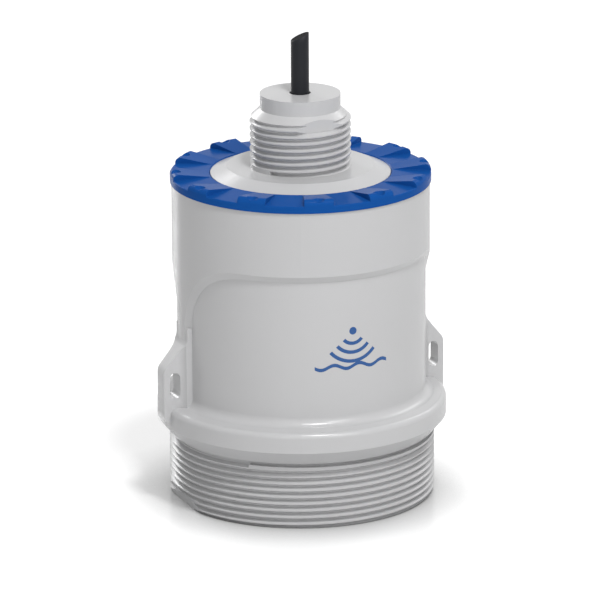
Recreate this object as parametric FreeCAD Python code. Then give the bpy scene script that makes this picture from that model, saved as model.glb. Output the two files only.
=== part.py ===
import FreeCAD, Part
import math
import os

V = FreeCAD.Vector
Z_AXIS = V(0, 0, 1)
ORIGIN = V(0, 0, 0)

# Compact radar level transmitter. Millimetres, +Z up along the thread axis, -Y is the front,
# and the ears stand out along +X and -X. The origin is the middle of the lower rim.

# Pipe threads, both with the same pitch and the same 55 degree form
thread_pitch = 2.309
thread_depth = 1.479
thread_flat = 0.385
thread_over = 0.3
thread_least_share = 0.7
thread_most_share = 1.02
thread_tries = 12
process_thread_d = 87.884
neck_thread_d = 33.249

# Clearances between mating pieces
slip_fit = 0.3
bore_fit = 0.15
seat_fit = 0.1
seal_fit = 0.02

# Housing, one moulding from the process thread to the rim
rim_chamfer = 1.2
process_thread_len = 22.3
relief_len = 1.3
relief_extra = 0.15
collar_step = 3.96
collar_bevel_h = 4.7
collar_wall_h = 4.9
collar_round = 1.8
shoulder_h = 0.5
foot_round = 2.9
body_r = 42.5
panel_depth = 1.4
panel_top_drop = 23.75
rim_z = 106.5
wall_t = 4.3
mouth_wall_t = 3.1
mouth_depth = 9.5
lip_w = 3.0
lip_t = 4.0
process_groove_angle = 248.0
process_groove_z = -1.94
process_groove_end_gap = 1.3
key_flat_x = 41.8
key_flat_h = 4.0

# Recessed front and back panels, and the pillars between them in line with the ears
pillar_half_w = 5.2
panel_corner_r = 23.0
panel_corner_angle = 4.0
panel_bevel_w = 2.2

# Ears with a slot for a tether
ear_t = 6.2
ear_reach = 7.6
ear_corner_z = 46.7
ear_corner_round = 5.0
ear_slope_angle = 50.8
ear_low_z = 30.3
ear_low_round = 4.5
ear_foot_z = 26.6
ear_root_round = 3.5
ear_edge_round = 0.9
slot_w = 3.5
slot_h = 8.8
slot_in = 4.0
slot_z = 41.8

# Retaining ring with twelve grip lugs
ring_overhang = 0.45
ring_rim_h = 2.4
ring_rim_round = 0.4
ring_inner_rise = 2.85
ring_bore_round = 0.4
ring_skirt_t = 4.8
ring_lugs = 12
lug_first_angle = 16.0
lug_angle = 13.0
lug_rise = 2.0
lug_root_h = 1.6
lug_round = 1.8
dimple_r = 2.2
dimple_in = 1.6
dimple_up = 0.9

# Slip washer between the ring and the flange of the cap
slip_washer_t = 0.8
slip_washer_w = 4.0

# Top cap, one moulding from the spigot to the neck
cap_flange_t = 3.0
cap_spigot_len = 6.0
cap_spigot_t = 3.3
ring_land_w = 12.85
drum_t = 3.65
drum_edge_rise = 2.6
dome_edge_in = 5.35
dome_edge_rise = 4.9
dome_top_in = 7.05
neck_base_rise = 4.85
cap_roof_t = 3.8
cap_roof_chamfer = 2.5
neck_thread_len = 16.8
neck_cone_h = 2.7
neck_top_d = 26.5
neck_top_len = 4.9
neck_lead = 0.3
neck_groove_angle = 211.4
neck_groove_rise = 0.355
neck_groove_over = 1.2
spanner_flat_half = 14.4
spanner_flat_angle = 4.0
spanner_flat_h = 10.0
gland_bore_r = 10.0
gland_roof_t = 6.75
seal_groove_w = 2.4
seal_groove_depth = 1.8
seal_groove_up = 1.8

# Cable stub, cut at a slant, and the gland that grips it
cable_r = 2.98
cable_hole_r = 3.5
cable_stub_len = 18.95
cable_cut_tilt = 24.7
cable_cut_angle = 338.0
cable_tail = 0.5
gland_nut_len = 8.0
gland_nut_hex = 12.0
gland_nut_collar = 3.0
gland_washer_t = 1.0

# Antenna lens, its seal, the carrier, the clamp ring and the horn
lens_seal_t = 1.0
lens_flange_t = 3.0
lens_recess = 1.0
lens_shelf_w = 8.0
lens_dome_h = 10.0
carrier_flange_t = 3.0
carrier_foot_in = 5.0
carrier_top_r = 20.0
carrier_wall_t = 2.0
clamp_ring_w = 3.6
clamp_ring_h = 5.0
clamp_notches = 4
clamp_notch_angle = 45.0
clamp_notch_w = 4.0
clamp_notch_h = 2.0
sleeve_t = 1.5
sleeve_end_gap = 11.0
horn_tube_r = 5.0
horn_bore_r = 3.0
horn_mouth_r = 11.0
horn_mouth_t = 0.8
horn_len = 9.0

# Circuit boards, one above the other on three sets of pillars
board_t = 1.6
radar_board_r = 19.0
processor_board_in = 4.0
power_board_in = 2.6
spacer_count = 4
spacer_circle_r = 15.5
spacer_af = 5.0
screw_hole_r = 1.3
radar_gap = 5.0
processor_gap = 11.4
power_gap = 8.0
cap_gap = 6.4
screw_head_r = 2.5
screw_head_h = 1.8
screw_len = 4.0
screw_slot_w = 0.8
screw_slot_h = 0.8

# Parts on the boards
radar_chip_side = 8.0
radar_chip_t = 1.0
can_side = 16.0
can_h = 4.0
can_wall = 0.4
processor_chip_side = 12.0
processor_chip_t = 1.4
crystal_size = (11.0, 4.6, 3.6)
crystal_in = 14.0
radio_size = (14.0, 11.0, 2.4)
radio_in = 12.0
header_size = (12.0, 5.0)
header_side_y = 9.0
header_body_t = 2.4
capacitor_r = 4.0
capacitor_h = 9.0
capacitor_in = 9.0
capacitor_spread = 5.0
inductor_r = 6.0
inductor_bore_r = 2.6
inductor_h = 5.0
inductor_in = 11.5
arrester_r = 3.0
arrester_len = 8.0
arrester_cap_len = 1.0
arrester_in = 10.0
terminal_size = (12.0, 8.0, 9.0)
terminal_in = 9.0
terminal_entry_r = 1.4
terminal_entry_up = 4.2
terminal_screw_r = 1.6
terminal_screw_h = 1.0
terminal_pitch = 5.0

# Two cores of the cable, from its end to the terminal block
wire_r = 0.8
wire_spread = 1.3
wire_drop = 8.0
wire_into = 2.0
wire_bend = 0.45

# Sizes that follow from the ones above
process_r = process_thread_d / 2
relief_r = process_r - thread_depth - relief_extra
neck_r = neck_thread_d / 2
neck_top_r = neck_top_d / 2
collar_r = process_r + collar_step
panel_r = body_r - panel_depth
panel_top_z = rim_z - panel_top_drop
cavity_r = panel_r - wall_t
mouth_r = body_r - mouth_wall_t
lip_r = cavity_r - lip_w
ledge_z = rim_z - mouth_depth
ear_end_x = body_r + ear_reach
slot_x = ear_end_x - slot_in
collar_low_z = process_thread_len + collar_bevel_h
collar_high_z = collar_low_z + collar_wall_h
shoulder_z = collar_high_z + collar_round
foot_z = shoulder_z + shoulder_h
panel_low_z = foot_z + foot_round
drum_r = body_r - ring_land_w
drum_edge_z = rim_z + drum_edge_rise
dome_edge_r = drum_r - dome_edge_in
dome_edge_z = rim_z + dome_edge_rise
dome_top_r = drum_r - dome_top_in
neck_base_z = rim_z + neck_base_rise
neck_groove_z = neck_base_z + neck_groove_rise
cap_flange_z = ledge_z + cap_flange_t
cap_flange_r = mouth_r - slip_fit - seat_fit
cap_spigot_r = cavity_r - seat_fit
cap_low_z = ledge_z - cap_spigot_len
cap_hollow_r = cap_spigot_r - cap_spigot_t
roof_z = neck_base_z - cap_roof_t
ring_low_z = cap_flange_z + slip_washer_t
ring_outer_r = body_r + ring_overhang
ring_bore_r = drum_r + bore_fit
ring_skirt_r = mouth_r - slip_fit
ring_skirt_in_r = ring_skirt_r - ring_skirt_t
ring_edge_z = rim_z + ring_rim_h
ring_inner_z = rim_z + ring_inner_rise
neck_thread_z = neck_base_z + neck_thread_len
neck_cone_z = neck_thread_z + neck_cone_h
neck_top_z = neck_cone_z + neck_top_len
gland_top_z = neck_top_z - gland_roof_t
cable_top_z = neck_top_z + cable_stub_len
lens_low_z = lip_t + lens_seal_t
lens_high_z = lens_low_z + lens_flange_t
lens_dome_r = cavity_r - lens_shelf_w
carrier_low_z = lens_high_z + carrier_flange_t
carrier_foot_r = cavity_r - carrier_foot_in
processor_board_r = cavity_r - processor_board_in
power_board_r = cap_hollow_r - power_board_in
power_board_z = cap_low_z - cap_gap
processor_board_z = power_board_z - power_gap - board_t
radar_board_z = processor_board_z - processor_gap - board_t
carrier_top_z = radar_board_z - radar_gap
sleeve_low_z = carrier_low_z + sleeve_end_gap
sleeve_high_z = carrier_top_z - sleeve_end_gap
power_top_z = power_board_z + board_t
terminal_x = power_board_r - terminal_in
cable_low_z = roof_z - cable_tail


def outline(start, steps):
    """Closed face in the XZ plane: a step is one corner, or a pair (point on an arc, its end)."""
    edges = []
    here = V(start[0], 0, start[1])
    for step in steps + [start]:
        if isinstance(step[0], tuple):
            middle = V(step[0][0], 0, step[0][1])
            there = V(step[1][0], 0, step[1][1])
            edges.append(Part.Arc(here, middle, there).toShape())
        else:
            there = V(step[0], 0, step[1])
            edges.append(Part.LineSegment(here, there).toShape())
        here = there
    return Part.Face(Part.Wire(edges))


def turned(start, steps, angle=360.0):
    """Solid of revolution about Z."""
    return outline(start, steps).revolve(ORIGIN, Z_AXIS, angle)


def tube(outer_r, inner_r, low_z, high_z):
    """Plain ring about Z."""
    return turned((inner_r, low_z), [(outer_r, low_z), (outer_r, high_z), (inner_r, high_z)])


def rod(radius, low_z, high_z, x=0.0, y=0.0):
    """Upright cylinder."""
    return Part.makeCylinder(radius, high_z - low_z, V(x, y, low_z))


def block(size_x, size_y, low_z, high_z, x=0.0, y=0.0):
    """Upright block with its middle at x, y."""
    return Part.makeBox(size_x, size_y, high_z - low_z, V(x - size_x / 2, y - size_y / 2, low_z))


def hexagon(across_flats, low_z, high_z, x=0.0, y=0.0):
    """Upright hexagonal bar."""
    corner_r = across_flats / math.sqrt(3)
    corners = []
    for index in range(6):
        angle = math.radians(60 * index)
        corners.append(V(x + corner_r * math.cos(angle), y + corner_r * math.sin(angle), low_z))
    face = Part.Face(Part.makePolygon(corners + [corners[0]]))
    return face.extrude(V(0, 0, high_z - low_z))


def arc_middle(corner_in, corner_out, centre, radius):
    """Point half way along the arc of this centre and radius between two points."""
    mid_x = (corner_in[0] + corner_out[0]) / 2 - centre[0]
    mid_z = (corner_in[1] + corner_out[1]) / 2 - centre[1]
    length = math.hypot(mid_x, mid_z)
    return (centre[0] + radius * mid_x / length, centre[1] + radius * mid_z / length)


def round_corner(before, corner, after, radius):
    """The three points of an arc that rounds the corner between two straight lines."""
    to_before = V(before[0] - corner[0], 0, before[1] - corner[1]).normalize()
    to_after = V(after[0] - corner[0], 0, after[1] - corner[1]).normalize()
    half = to_before.getAngle(to_after) / 2
    along = radius / math.tan(half)
    bisector = (to_before + to_after).normalize()
    reach = radius / math.sin(half) - radius
    place = V(corner[0], 0, corner[1])
    first = place + to_before * along
    middle = place + bisector * reach
    last = place + to_after * along
    return (first.x, first.z), ((middle.x, middle.z), (last.x, last.z))


def helical_groove(corners, root_r, start_z, length):
    """Solid of one right-hand groove: a section swept up a helix."""
    helix = Part.makeHelix(thread_pitch, length, root_r)
    pipe = Part.BRepOffsetAPI.MakePipeShell(Part.Wire(helix.Edges))
    pipe.setFrenetMode(True)
    pipe.add(Part.makePolygon(corners + [corners[0]]))
    pipe.build()
    pipe.makeSolid()
    groove = pipe.shape()
    groove.translate(V(0, 0, start_z))
    return groove


def threaded(turning, major_r, start_z, end_z, start_angle):
    """
    The turning with a right-hand helical groove, from start_z at start_angle up to end_z.
    Some lengths of groove cut nothing or too much, and then a slightly shorter one is cut.
    """
    root_r = major_r - thread_depth
    outer_r = major_r + thread_over
    half_root = thread_flat / 2
    half_crest = (thread_pitch - thread_flat) / 2
    slope = (half_crest - half_root) / thread_depth
    half_outer = half_crest + slope * thread_over
    corners = [
        V(root_r, 0, -half_root),
        V(outer_r, 0, -half_outer),
        V(outer_r, 0, half_outer),
        V(root_r, 0, half_root),
    ]
    ring_volume = (half_root + half_crest) * thread_depth * math.pi * (major_r + root_r)
    for attempt in range(thread_tries):
        length = end_z - start_z - attempt * thread_pitch / thread_tries
        grooved = turning.cut(helical_groove(corners, root_r, start_z, length))
        share = (turning.Volume - grooved.Volume) / (ring_volume * length / thread_pitch)
        if grooved.isValid() and thread_least_share < share < thread_most_share:
            break
    grooved.rotate(ORIGIN, Z_AXIS, start_angle)
    return grooved


def both_sides(solid):
    """The solid and its copy turned half a turn about Z."""
    other = solid.copy()
    other.rotate(ORIGIN, Z_AXIS, 180)
    return [solid, other]


def around(solid, count, first_angle=0.0):
    """Copies of the solid at even angles about Z."""
    copies = []
    for index in range(count):
        copy = solid.copy()
        copy.rotate(ORIGIN, Z_AXIS, first_angle + 360.0 / count * index)
        copies.append(copy)
    return copies


def panel_recess(side):
    """Cutter of the front or back recess, whose upper corners are rounded seen along X."""
    far = collar_r
    lean = math.radians(panel_corner_angle)
    centre_y = pillar_half_w + panel_corner_r * math.cos(lean)
    centre_z = panel_top_z - panel_corner_r
    corner = []
    for angle in (lean, (lean + math.pi / 2) / 2, math.pi / 2):
        y = centre_y - panel_corner_r * math.cos(angle)
        corner.append(V(-far, side * y, centre_z + panel_corner_r * math.sin(angle)))
    foot = V(-far, side * pillar_half_w, panel_low_z)
    high = V(-far, side * far, panel_top_z)
    low = V(-far, side * far, panel_low_z)
    edges = [
        Part.LineSegment(foot, corner[0]).toShape(),
        Part.Arc(*corner).toShape(),
        Part.LineSegment(corner[2], high).toShape(),
        Part.LineSegment(high, low).toShape(),
        Part.LineSegment(low, foot).toShape(),
    ]
    prism = Part.Face(Part.Wire(edges)).extrude(V(2 * far, 0, 0))
    return prism.cut(rod(panel_r, 0, rim_z))


def bevel_panels(shell):
    """The shell with the top and the corners of both recesses bevelled down to the panels."""
    edges = []
    for edge in shell.Edges:
        points = edge.discretize(Number=5)
        on_face = all(abs(math.hypot(point.x, point.y) - body_r) < seal_fit for point in points)
        beside = all(panel_low_z + seal_fit < point.z < panel_top_z + seal_fit for point in points)
        on_pillar = all(abs(abs(point.y) - pillar_half_w) < seal_fit for point in points)
        if on_face and beside and not on_pillar:
            edges.append(edge)
    return shell.makeChamfer(panel_bevel_w, panel_depth - seat_fit, edges)


def ear_side():
    """Outline of an ear and its root seen along Y."""
    root_x = panel_r - wall_t / 2
    blend_x = math.sqrt(body_r ** 2 - pillar_half_w ** 2)
    slope = math.tan(math.radians(ear_slope_angle))
    top = (ear_end_x, ear_corner_z)
    blend = (blend_x, ear_corner_z + (ear_end_x - blend_x) * slope)
    high = (blend_x, blend[1] + ear_corner_round)
    low = (ear_end_x, ear_low_z)
    foot = (collar_r - collar_round, ear_foot_z)
    low_start, low_arc = round_corner(foot, low, top, ear_low_round)
    top_start, top_arc = round_corner(low, top, blend, ear_corner_round)
    blend_start, blend_arc = round_corner(top, blend, high, ear_corner_round)
    steps = [foot, low_start, low_arc, top_start, top_arc, blend_start, blend_arc, high, (root_x, high[1])]
    return outline((root_x, ear_foot_z), steps)


def ear_plan():
    """Outline of an ear seen along Z, wide at its root and rounded at its end."""
    root_x = panel_r - wall_t
    half_t = ear_t / 2
    centre_x = body_r + ear_root_round
    turn = math.acos((half_t + ear_root_round - pillar_half_w) / ear_root_round)
    bend = []
    for angle in (turn, turn / 2, 0):
        x = centre_x - ear_root_round * math.sin(angle)
        bend.append((x, half_t + ear_root_round * (1 - math.cos(angle))))
    corner = (ear_end_x, half_t)
    end_start, end_arc = round_corner((ear_end_x, 0), corner, (centre_x, half_t), ear_edge_round)
    upper = [bend[0], (bend[1], bend[2]), end_arc[1], (end_arc[0], end_start)]
    mirrored = [(x, -y) for x, y in (end_start, end_arc[0], end_arc[1], bend[2], bend[1], bend[0])]
    lower = [mirrored[0], (mirrored[1], mirrored[2]), mirrored[3], (mirrored[4], mirrored[5])]
    face = outline((root_x, pillar_half_w), upper + lower + [(root_x, -pillar_half_w)])
    face.rotate(ORIGIN, V(1, 0, 0), -90)
    return face


def make_ear():
    """Ear at +X that blends into its pillar, and the cutter of its upright slot."""
    side = ear_side()
    low_z = side.BoundBox.ZMin
    plate = side.extrude(V(0, 2 * pillar_half_w, 0))
    plate.translate(V(0, -pillar_half_w, 0))
    column = ear_plan().extrude(V(0, 0, side.BoundBox.ZLength))
    column.translate(V(0, 0, low_z))
    half_run = (slot_h - slot_w) / 2
    slot = block(slot_w, 2 * ear_t, slot_z - half_run, slot_z + half_run, slot_x)
    for end_z in (slot_z - half_run, slot_z + half_run):
        slot = slot.fuse(
            Part.makeCylinder(slot_w / 2, 2 * ear_t, V(slot_x, -ear_t, end_z), V(0, 1, 0))
        )
    return plate.common(column), slot


def make_housing():
    """Moulded housing: process thread, collar, panels, pillars, ears, lens pocket and mouth."""
    round_reach = collar_round * math.sin(math.radians(45))
    top_edge_r = collar_r - collar_round
    foot_r = panel_r + foot_round
    foot_reach = foot_round * math.sin(math.radians(45))
    foot_mid = (foot_r - foot_reach, panel_low_z - foot_reach)
    shell = turned(
        (lip_r, 0),
        [
            (process_r - rim_chamfer, 0),
            (process_r, rim_chamfer),
            (process_r, process_thread_len - relief_len),
            (relief_r, process_thread_len - relief_len),
            (relief_r, process_thread_len),
            (process_r, process_thread_len),
            (collar_r, collar_low_z),
            (collar_r, collar_high_z),
            ((top_edge_r + round_reach, collar_high_z + round_reach), (top_edge_r, shoulder_z)),
            (foot_r, foot_z),
            (foot_mid, (panel_r, panel_low_z)),
            (body_r, panel_low_z),
            (body_r, rim_z),
            (mouth_r, rim_z),
            (mouth_r, ledge_z),
            (cavity_r, ledge_z),
            (cavity_r, lip_t),
            (lip_r, lip_t),
        ],
    )
    groove_end = process_thread_len - process_groove_end_gap
    shell = threaded(shell, process_r, process_groove_z, groove_end, process_groove_angle)
    shell = bevel_panels(shell.cut([panel_recess(1), panel_recess(-1)]))
    ear, slot = make_ear()
    shell = shell.fuse(both_sides(ear))
    shell = shell.cut(both_sides(slot))
    key = Part.makeBox(process_r, 2 * process_r, key_flat_h + process_r)
    key.translate(V(key_flat_x, -process_r, -process_r))
    return shell.cut(both_sides(key))


def make_retaining_ring():
    """Blue screwed ring: skirt in the mouth, flange on the rim, twelve lugs with dimples."""
    rim_in = ring_outer_r - ring_rim_round
    edge_mid = ring_rim_round * math.sin(math.radians(45))
    corner_z = ring_edge_z - ring_rim_round
    bore_top = ring_inner_z - ring_bore_round
    ring = turned(
        (ring_bore_r, rim_z),
        [
            (ring_skirt_in_r, rim_z),
            (ring_skirt_in_r, ring_low_z),
            (ring_skirt_r, ring_low_z),
            (ring_skirt_r, rim_z),
            (ring_outer_r, rim_z),
            (ring_outer_r, corner_z),
            ((rim_in + edge_mid, corner_z + edge_mid), (rim_in, ring_edge_z)),
            (ring_bore_r + ring_bore_round, ring_inner_z),
            (ring_bore_r, bore_top),
        ],
    )
    lug_top_z = ring_edge_z + lug_rise
    lug_mid = lug_round * math.sin(math.radians(45))
    lug = turned(
        (ring_bore_r + ring_bore_round, ring_inner_z - lug_root_h),
        [
            (ring_outer_r, ring_edge_z - lug_root_h),
            (ring_outer_r, lug_top_z - lug_round),
            (
                (ring_outer_r - lug_round + lug_mid, lug_top_z - lug_round + lug_mid),
                (ring_outer_r - lug_round, lug_top_z),
            ),
            (ring_bore_r + ring_bore_round, ring_inner_z),
        ],
        lug_angle,
    )
    dimple = Part.makeSphere(dimple_r, V(ring_outer_r - dimple_in, 0, lug_top_z + dimple_up))
    lugs = around(lug, ring_lugs, lug_first_angle - lug_angle / 2)
    dimples = around(dimple, ring_lugs, lug_first_angle)
    return ring.fuse(lugs).cut(dimples)


def make_neck():
    """Threaded neck of the cap with its cone, spanner flats and plain top."""
    neck = turned(
        (0, neck_base_z),
        [
            (neck_r, neck_base_z),
            (neck_r, neck_thread_z - neck_lead),
            (neck_r - neck_lead, neck_thread_z),
            (neck_top_r, neck_cone_z),
            (neck_top_r, neck_top_z),
            (0, neck_top_z),
        ],
    )
    groove_end = neck_thread_z + neck_groove_over
    neck = threaded(neck, neck_r, neck_groove_z, groove_end, neck_groove_angle)
    flat = Part.makeBox(2 * neck_r, neck_r, spanner_flat_h)
    flat.translate(V(-neck_r, spanner_flat_half, neck_top_z - spanner_flat_h))
    flat.rotate(ORIGIN, Z_AXIS, spanner_flat_angle)
    return neck.cut(both_sides(flat))


def make_top_cap():
    """Moulded cap: spigot with seal groove, flange, drum, domed top and neck."""
    groove_low = cap_low_z + seal_groove_up
    groove_high = groove_low + seal_groove_w
    drum_in_r = drum_r - drum_t
    body = turned(
        (cap_hollow_r, cap_low_z),
        [
            (cap_spigot_r, cap_low_z),
            (cap_spigot_r, groove_low),
            (cap_spigot_r - seal_groove_depth, groove_low),
            (cap_spigot_r - seal_groove_depth, groove_high),
            (cap_spigot_r, groove_high),
            (cap_spigot_r, ledge_z),
            (cap_flange_r, ledge_z),
            (cap_flange_r, cap_flange_z),
            (drum_r, cap_flange_z),
            (drum_r, drum_edge_z),
            (dome_edge_r, dome_edge_z),
            (dome_top_r, neck_base_z),
            (0, neck_base_z),
            (0, roof_z),
            (drum_in_r - cap_roof_chamfer, roof_z),
            (drum_in_r, roof_z - cap_roof_chamfer),
            (drum_in_r, ledge_z),
            (cap_hollow_r, ledge_z),
        ],
    )
    cap = body.fuse(make_neck())
    bores = rod(gland_bore_r, roof_z - cap_roof_t, gland_top_z)
    return cap.cut([bores, rod(cable_hole_r, gland_top_z - cap_roof_t, neck_top_z + cap_roof_t)])


def make_cable():
    """Straight round stub whose upper end is cut at a slant."""
    spare = 2 * cable_r
    stub = rod(cable_r, cable_low_z, cable_top_z + spare)
    knife = Part.makeBox(4 * spare, 4 * spare, 4 * spare, V(-2 * spare, -2 * spare, 0))
    knife.rotate(ORIGIN, V(0, 1, 0), -cable_cut_tilt)
    knife.rotate(ORIGIN, Z_AXIS, cable_cut_angle)
    knife.translate(V(0, 0, cable_top_z))
    return stub.cut(knife)


def make_cap_seal():
    """O-ring between the spigot of the cap and the wall of the housing."""
    inner_r = cap_spigot_r - seal_groove_depth
    section_r = (cavity_r - inner_r) / 2 - seal_fit
    middle_r = (cavity_r + inner_r) / 2
    middle_z = cap_low_z + seal_groove_up + seal_groove_w / 2
    return Part.makeTorus(middle_r, section_r, V(0, 0, middle_z))


def make_lens():
    """Plastic lens: flange on the seal, flat outer face and a domed inner face."""
    flange_r = cavity_r - seat_fit
    face_r = lip_r - seat_fit
    rise = lens_dome_h
    sphere_r = (lens_dome_r ** 2 + rise ** 2) / (2 * rise)
    centre_z = lens_high_z + rise - sphere_r
    mid_r = lens_dome_r / 2
    mid_z = centre_z + math.sqrt(sphere_r ** 2 - mid_r ** 2)
    return turned(
        (0, lens_recess),
        [
            (face_r, lens_recess),
            (face_r, lens_low_z),
            (flange_r, lens_low_z),
            (flange_r, lens_high_z),
            (lens_dome_r, lens_high_z),
            ((mid_r, mid_z), (0, lens_high_z + rise)),
        ],
    )


def carrier_slope():
    """Fall of the carrier's radius for each millimetre of height."""
    return (carrier_foot_r - carrier_top_r) / (carrier_top_z - carrier_low_z)


def carrier_inner_r(z):
    """Inner radius of the carrier's cone at height z."""
    return carrier_foot_r - carrier_wall_t - carrier_slope() * (z - carrier_low_z)


def make_carrier():
    """Cone that stands on the lens and holds the horn in its top plate."""
    flange_r = cavity_r - seat_fit
    plate_z = carrier_top_z - carrier_wall_t
    return turned(
        (carrier_inner_r(lens_high_z), lens_high_z),
        [
            (flange_r, lens_high_z),
            (flange_r, carrier_low_z),
            (carrier_foot_r, carrier_low_z),
            (carrier_top_r, carrier_top_z),
            (horn_tube_r + seat_fit, carrier_top_z),
            (horn_tube_r + seat_fit, plate_z),
            (carrier_inner_r(plate_z), plate_z),
        ],
    )


def make_clamp_ring():
    """Screwed ring that presses the carrier down, with notches for its tool."""
    outer_r = cavity_r - seat_fit
    high_z = carrier_low_z + clamp_ring_h
    ring = tube(outer_r, outer_r - clamp_ring_w, carrier_low_z, high_z)
    notch_low = high_z - clamp_notch_h
    notch = block(clamp_notch_w, 2 * clamp_ring_w, notch_low, high_z + clamp_notch_h, 0, outer_r)
    return ring.cut(around(notch, clamp_notches, clamp_notch_angle))


def make_sleeve():
    """Absorbing liner on the inside of the carrier's cone."""
    low_r = carrier_inner_r(sleeve_low_z) - seat_fit
    high_r = carrier_inner_r(sleeve_high_z) - seat_fit
    return turned(
        (low_r - sleeve_t, sleeve_low_z),
        [(low_r, sleeve_low_z), (high_r, sleeve_high_z), (high_r - sleeve_t, sleeve_high_z)],
    )


def make_horn():
    """Metal feed horn: a tube up to the radar board and a flared mouth below the plate."""
    shoulder_z = carrier_top_z - carrier_wall_t
    mouth_z = shoulder_z - horn_len
    return turned(
        (horn_bore_r, radar_board_z),
        [
            (horn_bore_r, shoulder_z),
            (horn_mouth_r - horn_mouth_t, mouth_z),
            (horn_mouth_r, mouth_z),
            (horn_tube_r + 2 * horn_mouth_t, shoulder_z),
            (horn_tube_r, shoulder_z),
            (horn_tube_r, radar_board_z),
        ],
    )


def spacer_places():
    """Middles of the pillars and of their screws."""
    places = []
    for index in range(spacer_count):
        angle = math.radians(45 + 360 / spacer_count * index)
        places.append((spacer_circle_r * math.cos(angle), spacer_circle_r * math.sin(angle)))
    return places


def make_spacers(low_z, high_z):
    """One set of hexagonal pillars between two levels."""
    return [hexagon(spacer_af, low_z, high_z, x, y) for x, y in spacer_places()]


def make_board(radius, low_z, hole_r):
    """Round circuit board with holes at the pillars."""
    board = rod(radius, low_z, low_z + board_t)
    return board.cut([rod(hole_r, low_z - board_t, low_z + 2 * board_t, x, y) for x, y in spacer_places()])


def make_power_board():
    """Top board: the screws pass through its holes."""
    return make_board(power_board_r, power_board_z, screw_hole_r)


def make_upper_spacers():
    """Pillars under the top board, with a threaded hole for each screw."""
    bodies = make_spacers(processor_board_z + board_t, power_board_z)
    deep = power_top_z - screw_len - screw_hole_r
    holes = [rod(screw_hole_r, deep, power_top_z, x, y) for x, y in spacer_places()]
    return [body.cut(hole) for body, hole in zip(bodies, holes)]


def make_board_screws():
    """Slotted screws in the top board."""
    screws = []
    for x, y in spacer_places():
        head = rod(screw_head_r, power_top_z, power_top_z + screw_head_h, x, y)
        shank = rod(screw_hole_r - seat_fit, power_top_z - screw_len, power_top_z, x, y)
        high = power_top_z + screw_head_h
        slot = block(2 * screw_head_r, screw_slot_w, high - screw_slot_h, high + screw_slot_h, x, y)
        screws.append(head.fuse(shank).cut(slot))
    return screws


def make_shield_can():
    """Folded metal can over the radar chip."""
    low_z = radar_board_z + board_t
    can = block(can_side, can_side, low_z, low_z + can_h)
    inside = can_side - 2 * can_wall
    return can.cut(block(inside, inside, low_z - can_wall, low_z + can_h - can_wall))


def make_header(low_z, high_z):
    """Plug connector that fills the gap between two boards."""
    lower = block(header_size[0], header_size[1], low_z, low_z + header_body_t, 0, header_side_y + spacer_af)
    upper = block(
        header_size[0] - header_body_t,
        header_size[1] - header_body_t,
        low_z + header_body_t,
        high_z,
        0,
        header_side_y + spacer_af,
    )
    return lower.fuse(upper)


def make_inductor():
    """Ring core lying on the top board."""
    y = power_board_r - inductor_in
    core = rod(inductor_r, power_top_z, power_top_z + inductor_h, 0, y)
    return core.cut(rod(inductor_bore_r, power_top_z - board_t, power_top_z + 2 * inductor_h, 0, y))


def make_capacitors():
    """Pair of round capacitors standing on the top board."""
    x = capacitor_in - power_board_r
    high_z = power_top_z + capacitor_h
    return [rod(capacitor_r, power_top_z, high_z, x, side * capacitor_spread) for side in (-1, 1)]


def make_arrester():
    """Gas discharge tube lying on the top board, with thicker end caps."""
    start = V(-arrester_len / 2, arrester_in - power_board_r, power_top_z + arrester_r)
    along = V(1, 0, 0)
    body = Part.makeCylinder(arrester_r - screw_slot_h / 2, arrester_len, start, along)
    first = Part.makeCylinder(arrester_r, arrester_cap_len, start, along)
    last = first.copy()
    last.translate(V(arrester_len - arrester_cap_len, 0, 0))
    return body.fuse([first, last])


def terminal_ways():
    """Y places of the two ways of the terminal block."""
    return (-terminal_pitch / 2, terminal_pitch / 2)


def make_terminal_block():
    """Two-way terminal block with entries that face the axis and wells for its screws."""
    high_z = power_top_z + terminal_size[2]
    body = block(terminal_size[1], terminal_size[0], power_top_z, high_z, terminal_x)
    cuts = []
    for way_y in terminal_ways():
        entry = V(terminal_x - terminal_size[1], way_y, power_top_z + terminal_entry_up)
        cuts.append(Part.makeCylinder(terminal_entry_r, terminal_size[1], entry, V(1, 0, 0)))
        well_low = high_z - 2 * terminal_screw_h
        cuts.append(rod(terminal_screw_r + seat_fit, well_low, high_z + board_t, terminal_x, way_y))
    return body.cut(cuts)


def make_terminal_screws():
    """Slotted screws in the wells of the terminal block."""
    screws = []
    floor_z = power_top_z + terminal_size[2] - 2 * terminal_screw_h
    high_z = floor_z + terminal_screw_h
    slot_low = high_z - screw_slot_h / 2
    for way_y in terminal_ways():
        screw = rod(terminal_screw_r, floor_z, high_z, terminal_x, way_y)
        slot = block(screw_slot_w, 2 * terminal_screw_r, slot_low, high_z + board_t, terminal_x, way_y)
        screws.append(screw.cut(slot))
    return screws


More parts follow.
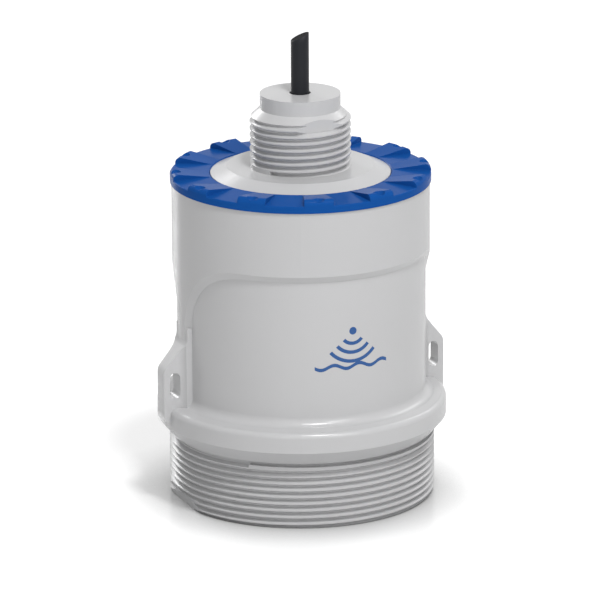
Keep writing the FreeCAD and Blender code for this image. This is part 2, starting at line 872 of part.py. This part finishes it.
def make_wire(side):
    """Core from the end of the cable to its way in the terminal block."""
    way_y = terminal_ways()[(side + 1) // 2]
    end = V(terminal_x - terminal_size[1] / 2 + wire_into, way_y, power_top_z + terminal_entry_up)
    start = V(0, side * wire_spread, cable_low_z)
    knee = V(0, side * wire_spread, end.z + wire_drop)
    turn = V(end.x - wire_drop, way_y, end.z)
    points = [start, knee, turn, end]
    edges = []
    here = start
    for before, corner, after in zip(points, points[1:], points[2:]):
        back = before - corner
        ahead = after - corner
        half = back.getAngle(ahead) / 2
        reach = wire_bend * min(back.Length, ahead.Length)
        back.normalize()
        ahead.normalize()
        radius = reach * math.tan(half)
        first = corner + back * reach
        last = corner + ahead * reach
        bisector = (back + ahead).normalize()
        middle = corner + bisector * (radius / math.sin(half) - radius)
        edges.append(Part.LineSegment(here, first).toShape())
        edges.append(Part.Arc(first, middle, last).toShape())
        here = last
    edges.append(Part.LineSegment(here, end).toShape())
    section = Part.Wire(Part.makeCircle(wire_r, start, V(0, 0, -1)))
    return Part.Wire(edges).makePipeShell([section], True, True)


def make_gland_nut():
    """Screwed nut that presses the gland seal, with a hexagonal hole for its key."""
    nut = rod(gland_bore_r - seat_fit, roof_z, roof_z + gland_nut_len)
    hole = hexagon(gland_nut_hex, roof_z - gland_nut_collar, roof_z + gland_nut_len - gland_nut_collar)
    return nut.cut([hole, rod(cable_r + seat_fit, roof_z, roof_z + 2 * gland_nut_len)])


def make_gland_seal():
    """Rubber sleeve pressed round the cable."""
    low_z = roof_z + gland_nut_len + gland_washer_t
    return tube(gland_bore_r - seat_fit, cable_r + seal_fit, low_z, gland_top_z)


radar_top_z = radar_board_z + board_t
processor_top_z = processor_board_z + board_t
washer_z = roof_z + gland_nut_len
washer_in_r = mouth_r - slip_fit - slip_washer_w
nodes = {
    "housing": make_housing(),
    "retaining_ring": make_retaining_ring(),
    "slip_washer": tube(cap_flange_r, washer_in_r, cap_flange_z, ring_low_z),
    "top_cap": make_top_cap(),
    "cap_seal": make_cap_seal(),
    "cable": make_cable(),
    "gland_nut": make_gland_nut(),
    "gland_washer": tube(gland_bore_r - seat_fit, cable_r + seat_fit, washer_z, washer_z + gland_washer_t),
    "gland_seal": make_gland_seal(),
    "antenna_lens": make_lens(),
    "lens_seal": tube(cavity_r - seat_fit, lip_r + seat_fit, lip_t, lens_low_z),
    "antenna_carrier": make_carrier(),
    "clamp_ring": make_clamp_ring(),
    "absorber_sleeve": make_sleeve(),
    "feed_horn": make_horn(),
    "lower_spacers": make_spacers(carrier_top_z, radar_board_z),
    "radar_board": make_board(radar_board_r, radar_board_z, screw_hole_r),
    "radar_chip": block(radar_chip_side, radar_chip_side, radar_top_z, radar_top_z + radar_chip_t),
    "shield_can": make_shield_can(),
    "middle_spacers": make_spacers(radar_top_z, processor_board_z),
    "processor_board": make_board(processor_board_r, processor_board_z, screw_hole_r),
    "processor_chip": block(
        processor_chip_side, processor_chip_side, processor_top_z, processor_top_z + processor_chip_t
    ),
    "crystal": block(
        crystal_size[0], crystal_size[1], processor_top_z, processor_top_z + crystal_size[2],
        crystal_in - processor_board_r,
    ),
    "radio_module": block(
        radio_size[0], radio_size[1], processor_top_z, processor_top_z + radio_size[2],
        processor_board_r - radio_in,
    ),
    "lower_header": make_header(radar_top_z, processor_board_z),
    "upper_spacers": make_upper_spacers(),
    "upper_header": make_header(processor_top_z, power_board_z),
    "power_board": make_power_board(),
    "board_screws": make_board_screws(),
    "capacitors": make_capacitors(),
    "inductor": make_inductor(),
    "surge_arrester": make_arrester(),
    "terminal_block": make_terminal_block(),
    "terminal_screws": make_terminal_screws(),
    "wire_positive": make_wire(1),
    "wire_negative": make_wire(-1),
}

os.makedirs("parts", exist_ok=True)
for name, shape in nodes.items():
    if isinstance(shape, list):
        shape = Part.makeCompound(shape)
    elif len(shape.Solids) == 1:
        shape = shape.Solids[0]
    box = shape.BoundBox
    print(
        "%-18s solids %d valid %s volume %.1f z %.2f to %.2f"
        % (name, len(shape.Solids), shape.isValid(), shape.Volume, box.ZMin, box.ZMax)
    )
    shape.exportStep("parts/%s.step" % name)
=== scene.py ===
import bpy
import math
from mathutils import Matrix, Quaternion, Vector


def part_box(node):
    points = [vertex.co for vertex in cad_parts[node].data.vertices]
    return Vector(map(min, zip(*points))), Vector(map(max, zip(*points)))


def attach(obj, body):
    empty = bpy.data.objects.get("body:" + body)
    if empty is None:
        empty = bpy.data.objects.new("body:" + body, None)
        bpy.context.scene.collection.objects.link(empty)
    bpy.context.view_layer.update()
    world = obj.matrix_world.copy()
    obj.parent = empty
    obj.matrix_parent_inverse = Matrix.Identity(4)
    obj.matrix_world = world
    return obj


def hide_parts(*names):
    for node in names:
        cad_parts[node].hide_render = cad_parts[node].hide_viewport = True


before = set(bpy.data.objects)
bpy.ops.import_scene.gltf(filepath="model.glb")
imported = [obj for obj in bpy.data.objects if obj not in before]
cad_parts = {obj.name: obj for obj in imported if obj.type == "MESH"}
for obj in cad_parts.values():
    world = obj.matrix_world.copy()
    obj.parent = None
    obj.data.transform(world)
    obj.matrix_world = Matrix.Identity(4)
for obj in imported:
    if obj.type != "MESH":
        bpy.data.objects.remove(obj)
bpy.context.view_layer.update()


# The view: a long lens a little above the object and to the left of its front,
# so that the front panel and the plain print on it are turned to the right.
view_azimuth = math.radians(-22.0)
view_elevation = math.radians(16.5)
view_roll = math.radians(0.33)
view_distance = 2.0
view_width = 0.1982
view_target = Vector((-0.0004, 0.0001, 0.0650))


def direction_at(azimuth, elevation):
    """The way from the object to a place that is turned from its front and raised."""
    return Vector((
        math.sin(azimuth) * math.cos(elevation),
        -math.cos(azimuth) * math.cos(elevation),
        math.sin(elevation),
    ))


view_direction = direction_at(view_azimuth, view_elevation)
view_turn = view_direction.to_track_quat("Z", "Y") @ Quaternion((0.0, 0.0, 1.0), -view_roll)
camera_data = bpy.data.cameras.new("camera")
camera_data.sensor_width = 36.0
camera_data.lens = camera_data.sensor_width * view_distance / view_width
camera_data.clip_end = 20.0
camera = bpy.data.objects.new("camera", camera_data)
camera.location = view_target + view_direction * view_distance
camera.rotation_euler = view_turn.to_euler()
bpy.context.scene.collection.objects.link(camera)
bpy.context.scene.camera = camera
bpy.context.scene.view_settings.view_transform = "Standard"


# The cable is a short stub of round black cable with an extruded jacket. It stands
# straight out of the gland in the neck, and it was cut off at a slant.
cable_diameter = 0.00596
cable_low_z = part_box("cable")[0].z
cable_cut_z = 0.1547
cable_cut_tilt = math.radians(24.7)
cable_cut_direction = math.radians(338.0)
cable_cut_bevel = 0.00012
cable_cut_margin = 4 * cable_cut_bevel
cable_sides = 64
cable_route = [
    (0.0, 0.0, cable_low_z),
    (0.0, 0.0, 0.122),
    (0.0, 0.0, 0.139),
    (0.0, 0.0, cable_cut_z),
]


def spline_points(name, route):
    """Points along the smooth line that a route's control points give."""
    curve = bpy.data.curves.new(name, "CURVE")
    curve.dimensions = "3D"
    spline = curve.splines.new("NURBS")
    spline.points.add(len(route) - 1)
    for point, place in zip(spline.points, route):
        point.co = (*place, 1.0)
    spline.order_u = 3
    spline.use_endpoint_u = True
    spline.resolution_u = 12
    guide = bpy.data.objects.new(name, curve)
    mesh = bpy.data.meshes.new_from_object(guide)
    points = [vertex.co.copy() for vertex in mesh.vertices]
    bpy.data.objects.remove(guide)
    bpy.data.meshes.remove(mesh)
    return points


def mesh_piece(name, vertices, faces, smooth=True):
    """A piece made from its own vertices and faces."""
    mesh = bpy.data.meshes.new(name)
    mesh.from_pydata(vertices, [], faces)
    mesh.validate()
    mesh.polygons.foreach_set("use_smooth", [smooth] * len(mesh.polygons))
    mesh.update()
    piece = bpy.data.objects.new(name, mesh)
    bpy.context.scene.collection.objects.link(piece)
    return piece


def circle_points(radius, sides, height, slope=0.0, slope_direction=0.0):
    """Points of a level circle round the Z axis, or of one that lies on a slanted cut."""
    points = []
    for side in range(sides):
        angle = 2 * math.pi * side / sides
        lift = radius * math.cos(angle - slope_direction) * slope
        points.append((radius * math.cos(angle), radius * math.sin(angle), height + lift))
    return points


# The tube is straight up to a little below the cut. Its last two circles are slanted, and
# they are the edge of the cut with its small bevel.
cable_r = cable_diameter / 2
cable_cut_slope = math.tan(cable_cut_tilt)
cable_straight_top_z = cable_cut_z - cable_r * cable_cut_slope - cable_cut_margin
cable_points = spline_points("cable_line", cable_route)
cable_vertices = []
for point in cable_points[:-1]:
    cable_vertices += circle_points(cable_r, cable_sides, min(point.z, cable_straight_top_z))
for circle_r, circle_z in (
    (cable_r, cable_cut_z - cable_cut_bevel),
    (cable_r - cable_cut_bevel, cable_cut_z),
):
    cable_vertices += circle_points(
        circle_r, cable_sides, circle_z, cable_cut_slope, cable_cut_direction
    )
cable_faces = []
last_circle = len(cable_vertices) - cable_sides
for low in range(0, last_circle, cable_sides):
    high = low + cable_sides
    for side in range(cable_sides):
        after = (side + 1) % cable_sides
        cable_faces.append((low + side, low + after, high + after, high + side))
cable_faces.append(tuple(range(last_circle, last_circle + cable_sides)))
cable_faces.append(tuple(reversed(range(cable_sides))))
cable = mesh_piece("cable_stub", cable_vertices, cable_faces)
for face in cable.data.polygons[-2:]:
    face.use_smooth = False


def new_material(name):
    """A material with its nodes and its main shader."""
    material = bpy.data.materials.new(name)
    material.use_nodes = True
    tree = material.node_tree
    return material, tree, tree.nodes["Principled BSDF"]


def new_group(name, takes, gives):
    """A node group with the sockets that it takes values from and gives values to."""
    group = bpy.data.node_groups.new(name, "ShaderNodeTree")
    for way, sockets in (("INPUT", takes), ("OUTPUT", gives)):
        for label, kind in sockets.items():
            group.interface.new_socket(label, in_out=way, socket_type="NodeSocket" + kind)
    return group, group.nodes.new("NodeGroupInput"), group.nodes.new("NodeGroupOutput")


def grain_group():
    """Fine and broad unevenness of a moulded or drawn surface, from places in metres."""
    group, inputs, outputs = new_group(
        "surface_grain",
        {"Grains per metre": "Float", "Stretch": "Vector"},
        {"Height": "Float", "Drift": "Float"},
    )
    link = group.links.new
    place = group.nodes.new("ShaderNodeTexCoord")
    stretch = group.nodes.new("ShaderNodeVectorMath")
    stretch.operation = "MULTIPLY"
    link(place.outputs["Object"], stretch.inputs[0])
    link(inputs.outputs["Stretch"], stretch.inputs[1])
    fine = group.nodes.new("ShaderNodeTexNoise")
    fine.inputs["Detail"].default_value = 3.0
    link(stretch.outputs["Vector"], fine.inputs["Vector"])
    link(inputs.outputs["Grains per metre"], fine.inputs["Scale"])
    broad = group.nodes.new("ShaderNodeTexNoise")
    broad.inputs["Scale"].default_value = 28.0
    broad.inputs["Detail"].default_value = 2.0
    link(place.outputs["Object"], broad.inputs["Vector"])
    link(fine.outputs["Fac"], outputs.inputs["Height"])
    link(broad.outputs["Fac"], outputs.inputs["Drift"])
    return group


surface_grain = grain_group()


def grained_material(name, dark, light, rough, grains, depth, stretch=(1.0, 1.0, 1.0)):
    """A surface whose colour and roughness drift a little, with a fine grain."""
    material, tree, shader = new_material(name)
    link = tree.links.new
    grain = tree.nodes.new("ShaderNodeGroup")
    grain.node_tree = surface_grain
    grain.inputs["Grains per metre"].default_value = grains
    grain.inputs["Stretch"].default_value = stretch
    tone = tree.nodes.new("ShaderNodeMix")
    tone.name = "tone"
    tone.data_type = "RGBA"
    tone.inputs["A"].default_value = (*dark, 1.0)
    tone.inputs["B"].default_value = (*light, 1.0)
    gloss = tree.nodes.new("ShaderNodeMapRange")
    gloss.inputs["To Min"].default_value = rough[0]
    gloss.inputs["To Max"].default_value = rough[1]
    relief = tree.nodes.new("ShaderNodeBump")
    relief.name = "relief"
    relief.inputs["Distance"].default_value = depth
    link(grain.outputs["Drift"], tone.inputs["Factor"])
    link(tone.outputs["Result"], shader.inputs["Base Color"])
    link(grain.outputs["Drift"], gloss.inputs["Value"])
    link(gloss.outputs["Result"], shader.inputs["Roughness"])
    link(grain.outputs["Height"], relief.inputs["Height"])
    link(relief.outputs["Normal"], shader.inputs["Normal"])
    return material


def set_shader(material, label, value):
    """Sets a constant on the main shader of a material."""
    material.node_tree.nodes["Principled BSDF"].inputs[label].default_value = value


cable_black = grained_material(
    "cable_black", dark=(0.006, 0.007, 0.010), light=(0.011, 0.012, 0.016), rough=(0.40, 0.50),
    grains=2600.0, depth=0.00003, stretch=(1.0, 1.0, 0.05),
)
set_shader(cable_black, "IOR", 1.33)
cable.data.materials.append(cable_black)

# The cut face is the last face but one. It is more matt than the jacket, and its colour is darker than
# the jacket's: painted shade on the face that looks up.
cable_cut_shaded_black = grained_material(
    "cable_cut_shaded_black", dark=(0.003, 0.003, 0.004), light=(0.006, 0.006, 0.008), rough=(0.80, 0.95),
    grains=4200.0, depth=0.00006,
)
set_shader(cable_cut_shaded_black, "IOR", 1.20)
cable.data.materials.append(cable_cut_shaded_black)
cable.data.polygons[-2].material_index = 1
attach(cable, "housing_body")
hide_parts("cable")


# The housing and the cap are light grey mouldings with a satin skin. A plain print on the
# front panel shows round waves that come from a small source and meet a wavy level.
print_blue = (0.012, 0.075, 0.250)
print_centre_z = 0.0600
print_turn = math.radians(2.0)
print_panel_r = 0.0411
print_skin = 0.0006
print_source_z = 0.0056
print_source_r = 0.0013
print_arcs = (0.0042, 0.0072, 0.0102)
print_arc_spread = 1.15
print_line_half = 0.0006
print_wave_z = -0.0062
print_wave_rise = 0.0007
print_wave_length = 0.0087
print_wave_half_width = 0.0130


def front_print_group():
    """Mask of the print, laid round the skin of the front panel: a source, arcs and a wave."""
    group, inputs, outputs = new_group(
        "front_print",
        {"Panel radius": "Float", "Turn": "Float", "Height": "Float"},
        {"Mask": "Float"},
    )

    def calc(operation, *values):
        node = group.nodes.new("ShaderNodeMath")
        node.operation = operation
        for socket, value in zip(node.inputs, values):
            if isinstance(value, float):
                socket.default_value = value
            else:
                group.links.new(value, socket)
        return node.outputs["Value"]

    def within(value, middle, half):
        return calc("LESS_THAN", calc("ABSOLUTE", calc("SUBTRACT", value, middle)), half)

    def length_of(first, second):
        return calc("SQRT", calc("ADD", calc("MULTIPLY", first, first), calc("MULTIPLY", second, second)))

    place = group.nodes.new("ShaderNodeTexCoord")
    parts = group.nodes.new("ShaderNodeSeparateXYZ")
    group.links.new(place.outputs["Object"], parts.inputs["Vector"])
    aside = parts.outputs["X"]
    ahead = calc("MULTIPLY", parts.outputs["Y"], -1.0)
    turn = calc("SUBTRACT", calc("ARCTAN2", aside, ahead), inputs.outputs["Turn"])
    across = calc("MULTIPLY", turn, inputs.outputs["Panel radius"])
    off_middle = calc("ABSOLUTE", across)
    up = calc("SUBTRACT", parts.outputs["Z"], inputs.outputs["Height"])

    below_source = calc("SUBTRACT", print_source_z, up)
    reach = length_of(across, below_source)
    in_beam = calc("LESS_THAN", off_middle, calc("MULTIPLY", below_source, print_arc_spread))
    mask = calc("LESS_THAN", reach, print_source_r)
    for arc_r in print_arcs:
        arc = calc("MULTIPLY", within(reach, arc_r, print_line_half), in_beam)
        mask = calc("MAXIMUM", mask, arc)

    swing = calc("SINE", calc("MULTIPLY", across, 2 * math.pi / print_wave_length))
    wave_z = calc("MULTIPLY_ADD", swing, print_wave_rise, print_wave_z)
    on_line = within(calc("SUBTRACT", up, wave_z), 0.0, print_line_half)
    wave = calc("MULTIPLY", on_line, calc("LESS_THAN", off_middle, print_wave_half_width))
    mask = calc("MAXIMUM", mask, wave)

    skin_r = calc("SUBTRACT", inputs.outputs["Panel radius"], print_skin)
    on_skin = calc("GREATER_THAN", length_of(ahead, aside), skin_r)
    group.links.new(calc("MULTIPLY", mask, on_skin), outputs.inputs["Mask"])
    return group


def lay_colour(material, mask, colour):
    """Lays a colour over the tone of a grained material, where a mask says so."""
    tree = material.node_tree
    over = tree.nodes.new("ShaderNodeMix")
    over.data_type = "RGBA"
    over.inputs["B"].default_value = (*colour, 1.0)
    tree.links.new(mask, over.inputs["Factor"])
    tree.links.new(tree.nodes["tone"].outputs["Result"], over.inputs["A"])
    tree.links.new(over.outputs["Result"], tree.nodes["Principled BSDF"].inputs["Base Color"])


def dress(material, *names):
    """Gives nodes of the frame their material."""
    for name in names:
        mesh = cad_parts[name].data
        mesh.materials.clear()
        mesh.materials.append(material)


housing_grey = grained_material(
    "housing_grey", dark=(0.470, 0.470, 0.476), light=(0.492, 0.492, 0.498), rough=(0.23, 0.29),
    grains=2200.0, depth=0.000008,
)
front_print = housing_grey.node_tree.nodes.new("ShaderNodeGroup")
front_print.node_tree = front_print_group()
front_print.inputs["Panel radius"].default_value = print_panel_r
front_print.inputs["Turn"].default_value = print_turn
front_print.inputs["Height"].default_value = print_centre_z
lay_colour(housing_grey, front_print.outputs["Mask"], print_blue)
dress(housing_grey, "housing", "top_cap")


# The retaining ring is moulded in deep blue plastic with slightly soft edges, and screws
# into the mouth of the housing. It presses a pale slip washer on the flange of the cap.
ring_edge_r = 0.00025
ring_blue = grained_material(
    "ring_blue", dark=(0.006, 0.066, 0.275), light=(0.008, 0.076, 0.310), rough=(0.20, 0.26),
    grains=1500.0, depth=0.00001,
)
set_shader(ring_blue, "IOR", 1.08)
ring_edges = ring_blue.node_tree.nodes.new("ShaderNodeBevel")
ring_edges.samples = 6
ring_edges.inputs["Radius"].default_value = ring_edge_r
ring_relief = ring_blue.node_tree.nodes["relief"]
ring_blue.node_tree.links.new(ring_edges.outputs["Normal"], ring_relief.inputs["Normal"])
dress(ring_blue, "retaining_ring")
washer_white = grained_material(
    "washer_white", dark=(0.74, 0.74, 0.72), light=(0.80, 0.80, 0.78), rough=(0.40, 0.50),
    grains=2000.0, depth=0.00001,
)
dress(washer_white, "slip_washer")


# The seals are matt black rubber: one in a groove of the cap's spigot, one behind the
# rim of the lens and a sleeve round the cable.
seal_black = grained_material(
    "seal_black", dark=(0.014, 0.014, 0.014), light=(0.024, 0.024, 0.024), rough=(0.55, 0.68),
    grains=5200.0, depth=0.00002,
)
dress(seal_black, "cap_seal", "lens_seal", "gland_seal")


# The lens that closes the process end is turned from white plastic, so it carries fine
# rings of the tool round its axis.
def turned_group():
    """Height of the fine rings that a turning tool leaves round the Z axis."""
    group, inputs, outputs = new_group("turned_rings", {"Rings per metre": "Float"}, {"Height": "Float"})
    place = group.nodes.new("ShaderNodeTexCoord")
    wave = group.nodes.new("ShaderNodeTexWave")
    wave.wave_type = "RINGS"
    wave.rings_direction = "Z"
    wave.inputs["Distortion"].default_value = 0.4
    wave.inputs["Detail"].default_value = 2.0
    group.links.new(place.outputs["Object"], wave.inputs["Vector"])
    group.links.new(inputs.outputs["Rings per metre"], wave.inputs["Scale"])
    group.links.new(wave.outputs["Fac"], outputs.inputs["Height"])
    return group


turned_rings = turned_group()


def add_turned(material, rings, depth):
    """Lays the rings of the turning tool over the grain of a material."""
    tree = material.node_tree
    lathe = tree.nodes.new("ShaderNodeGroup")
    lathe.node_tree = turned_rings
    lathe.inputs["Rings per metre"].default_value = rings
    ridges = tree.nodes.new("ShaderNodeBump")
    ridges.inputs["Distance"].default_value = depth
    tree.links.new(tree.nodes["relief"].outputs["Normal"], ridges.inputs["Normal"])
    tree.links.new(lathe.outputs["Height"], ridges.inputs["Height"])
    tree.links.new(ridges.outputs["Normal"], tree.nodes["Principled BSDF"].inputs["Normal"])


lens_white = grained_material(
    "lens_white", dark=(0.78, 0.78, 0.755), light=(0.83, 0.83, 0.81), rough=(0.34, 0.44),
    grains=1800.0, depth=0.000006,
)
add_turned(lens_white, rings=190.0, depth=0.00001)
dress(lens_white, "antenna_lens")


# The carrier cone and its screwed clamp ring are dark grey mouldings. The liner in the
# cone is open-celled absorber, much coarser than the rest.
carrier_grey = grained_material(
    "carrier_grey", dark=(0.052, 0.054, 0.058), light=(0.070, 0.072, 0.076), rough=(0.42, 0.52),
    grains=1800.0, depth=0.00002,
)
dress(carrier_grey, "antenna_carrier", "clamp_ring")
absorber_foam = grained_material(
    "absorber_foam", dark=(0.016, 0.016, 0.018), light=(0.046, 0.046, 0.050), rough=(0.80, 0.95),
    grains=900.0, depth=0.0004,
)
dress(absorber_foam, "absorber_sleeve")


# The horn is turned from aluminium. The pillars and the gland nut are turned brass, and
# the screws and the gland washer are bright plated steel.
horn_metal = grained_material(
    "horn_metal", dark=(0.70, 0.70, 0.71), light=(0.78, 0.78, 0.79), rough=(0.24, 0.34),
    grains=2600.0, depth=0.00001,
)
set_shader(horn_metal, "Metallic", 1.0)
add_turned(horn_metal, rings=420.0, depth=0.00002)
dress(horn_metal, "feed_horn")
gland_brass = grained_material(
    "gland_brass", dark=(0.58, 0.42, 0.17), light=(0.70, 0.52, 0.23), rough=(0.22, 0.34),
    grains=2400.0, depth=0.00001,
)
set_shader(gland_brass, "Metallic", 1.0)
add_turned(gland_brass, rings=420.0, depth=0.00001)
dress(gland_brass, "gland_nut", "lower_spacers", "middle_spacers", "upper_spacers")
plain_steel = grained_material(
    "plain_steel", dark=(0.50, 0.50, 0.50), light=(0.62, 0.62, 0.61), rough=(0.22, 0.36),
    grains=3200.0, depth=0.00001,
)
set_shader(plain_steel, "Metallic", 1.0)
dress(plain_steel, "gland_washer", "board_screws", "terminal_screws")


# The three circuit boards have a green lacquer over copper tracks, which show through it
# as lighter lines.
board_track_green = (0.045, 0.210, 0.080)
board_green = grained_material(
    "board_green", dark=(0.010, 0.085, 0.030), light=(0.016, 0.110, 0.042), rough=(0.18, 0.28),
    grains=900.0, depth=0.00001,
)
board_place = board_green.node_tree.nodes.new("ShaderNodeTexCoord")
board_tracks = board_green.node_tree.nodes.new("ShaderNodeTexBrick")
board_tracks.offset = 0.35
board_tracks.inputs["Scale"].default_value = 180.0
board_tracks.inputs["Mortar Size"].default_value = 0.035
board_tracks.inputs["Brick Width"].default_value = 0.9
board_tracks.inputs["Row Height"].default_value = 0.35
board_green.node_tree.links.new(board_place.outputs["Object"], board_tracks.inputs["Vector"])
lay_colour(board_green, board_tracks.outputs["Fac"], board_track_green)
dress(board_green, "radar_board", "processor_board", "power_board")


# On the boards: black moulded chips and headers, metal cans, a dark sintered core and a
# green terminal block.
chip_black = grained_material(
    "chip_black", dark=(0.014, 0.014, 0.015), light=(0.026, 0.026, 0.028), rough=(0.46, 0.60),
    grains=5200.0, depth=0.00001,
)
dress(chip_black, "radar_chip", "processor_chip", "lower_header", "upper_header")
can_metal = grained_material(
    "can_metal", dark=(0.56, 0.56, 0.55), light=(0.66, 0.66, 0.65), rough=(0.24, 0.40),
    grains=2200.0, depth=0.00001, stretch=(1.0, 0.08, 1.0),
)
set_shader(can_metal, "Metallic", 1.0)
dress(can_metal, "shield_can", "crystal", "radio_module", "capacitors", "surge_arrester")
core_dark = grained_material(
    "core_dark", dark=(0.020, 0.020, 0.022), light=(0.040, 0.040, 0.044), rough=(0.55, 0.70),
    grains=3200.0, depth=0.00003,
)
dress(core_dark, "inductor")
block_green = grained_material(
    "block_green", dark=(0.030, 0.160, 0.060), light=(0.040, 0.190, 0.075), rough=(0.38, 0.48),
    grains=2200.0, depth=0.00001,
)
dress(block_green, "terminal_block")


# Two cores of the cable run to the terminal block. Each has an extruded sleeve with a
# grain along its length, one in red and one in blue.
wire_stretch = (1.0, 1.0, 0.1)
wire_red = grained_material(
    "wire_red", dark=(0.34, 0.012, 0.010), light=(0.42, 0.020, 0.014), rough=(0.30, 0.42),
    grains=2600.0, depth=0.00001, stretch=wire_stretch,
)
dress(wire_red, "wire_positive")
wire_blue = grained_material(
    "wire_blue", dark=(0.012, 0.040, 0.30), light=(0.018, 0.055, 0.36), rough=(0.30, 0.42),
    grains=2600.0, depth=0.00001, stretch=wire_stretch,
)
dress(wire_blue, "wire_negative")


# The stage: one wide pale floor, an even world that is white behind the object, a broad
# lamp in front, a key lamp and a small high one at the right, and two behind the object.
# Close to the object the floor's colour and glow are darkened by ambient occlusion: painted shade for
# where less light reaches it, laid over the lamps' own shadows.
floor_radius = 6.0
floor_sides = 64
floor_shade_reach = 0.027
floor_glow = 0.28
floor = mesh_piece(
    "floor", circle_points(floor_radius, floor_sides, 0.0), [tuple(range(floor_sides))], smooth=False
)
floor_white, tree, shader = new_material("floor_white")
# Painted shade: ambient occlusion darkens the floor's colour and its camera glow near the object.
painted_floor_shade = tree.nodes.new("ShaderNodeAmbientOcclusion")
painted_floor_shade.samples = 8
painted_floor_shade.inputs["Distance"].default_value = floor_shade_reach
painted_floor_shade.inputs["Color"].default_value = (0.86, 0.86, 0.86, 1.0)
tree.links.new(painted_floor_shade.outputs["Color"], shader.inputs["Base Color"])
shader.inputs["Roughness"].default_value = 0.22
shader.inputs["Specular IOR Level"].default_value = 0.35
floor_rays = tree.nodes.new("ShaderNodeLightPath")
seen_with_painted_shade = tree.nodes.new("ShaderNodeMath")
seen_with_painted_shade.operation = "MULTIPLY"
glow = tree.nodes.new("ShaderNodeMath")
glow.operation = "MULTIPLY"
glow.inputs[1].default_value = floor_glow
tree.links.new(floor_rays.outputs["Is Camera Ray"], seen_with_painted_shade.inputs[0])
tree.links.new(painted_floor_shade.outputs["AO"], seen_with_painted_shade.inputs[1])
tree.links.new(seen_with_painted_shade.outputs["Value"], glow.inputs[0])
tree.links.new(glow.outputs["Value"], shader.inputs["Emission Strength"])
shader.inputs["Emission Color"].default_value = (1.0, 1.0, 1.0, 1.0)
floor.data.materials.append(floor_white)

sky_on_surfaces = 0.36
sky_seen = 1.0
world = bpy.data.worlds.new("studio")
world.use_nodes = True
bpy.context.scene.world = world
sky = world.node_tree
background = sky.nodes["Background"]
background.inputs["Color"].default_value = (1.0, 1.0, 1.0, 1.0)
sky_rays = sky.nodes.new("ShaderNodeLightPath")
mirrored = sky.nodes.new("ShaderNodeMath")
mirrored.operation = "MAXIMUM"
seen = sky.nodes.new("ShaderNodeMath")
seen.operation = "MAXIMUM"
sky.links.new(sky_rays.outputs["Is Glossy Ray"], mirrored.inputs[0])
sky.links.new(sky_rays.outputs["Is Transmission Ray"], mirrored.inputs[1])
sky.links.new(sky_rays.outputs["Is Camera Ray"], seen.inputs[0])
sky.links.new(mirrored.outputs["Value"], seen.inputs[1])
sky_level = sky.nodes.new("ShaderNodeMapRange")
sky_level.inputs["To Min"].default_value = sky_on_surfaces
sky_level.inputs["To Max"].default_value = sky_seen
sky.links.new(seen.outputs["Value"], sky_level.inputs["Value"])
sky.links.new(sky_level.outputs["Result"], background.inputs["Strength"])


def soft_lamp(name, turn, rise, distance, width, height, level_at_object):
    """A soft lamp at a turn from the view, aimed at the object, for a level there."""
    direction = direction_at(view_azimuth + math.radians(turn), math.radians(rise))
    lamp_data = bpy.data.lights.new(name, "AREA")
    lamp_data.shape = "RECTANGLE"
    lamp_data.size = width
    lamp_data.size_y = height
    lamp_data.energy = math.pi ** 2 * distance ** 2 * level_at_object
    lamp = bpy.data.objects.new(name, lamp_data)
    lamp.location = view_target + direction * distance
    lamp.rotation_euler = direction.to_track_quat("Z", "Y").to_euler()
    bpy.context.scene.collection.objects.link(lamp)


soft_lamp(
    "front_lamp", turn=8.0, rise=24.0, distance=1.8, width=2.2, height=1.3, level_at_object=0.22
)
soft_lamp(
    "key_lamp", turn=36.0, rise=42.0, distance=2.2, width=0.6, height=0.8, level_at_object=0.22
)
soft_lamp(
    "high_lamp", turn=22.0, rise=62.0, distance=1.8, width=0.24, height=0.24, level_at_object=0.46
)
soft_lamp(
    "left_rim_lamp", turn=-150.0, rise=22.0, distance=2.2, width=0.6, height=1.2, level_at_object=0.32
)
soft_lamp(
    "right_rim_lamp", turn=140.0, rise=38.0, distance=2.2, width=0.5, height=1.0, level_at_object=0.12
)
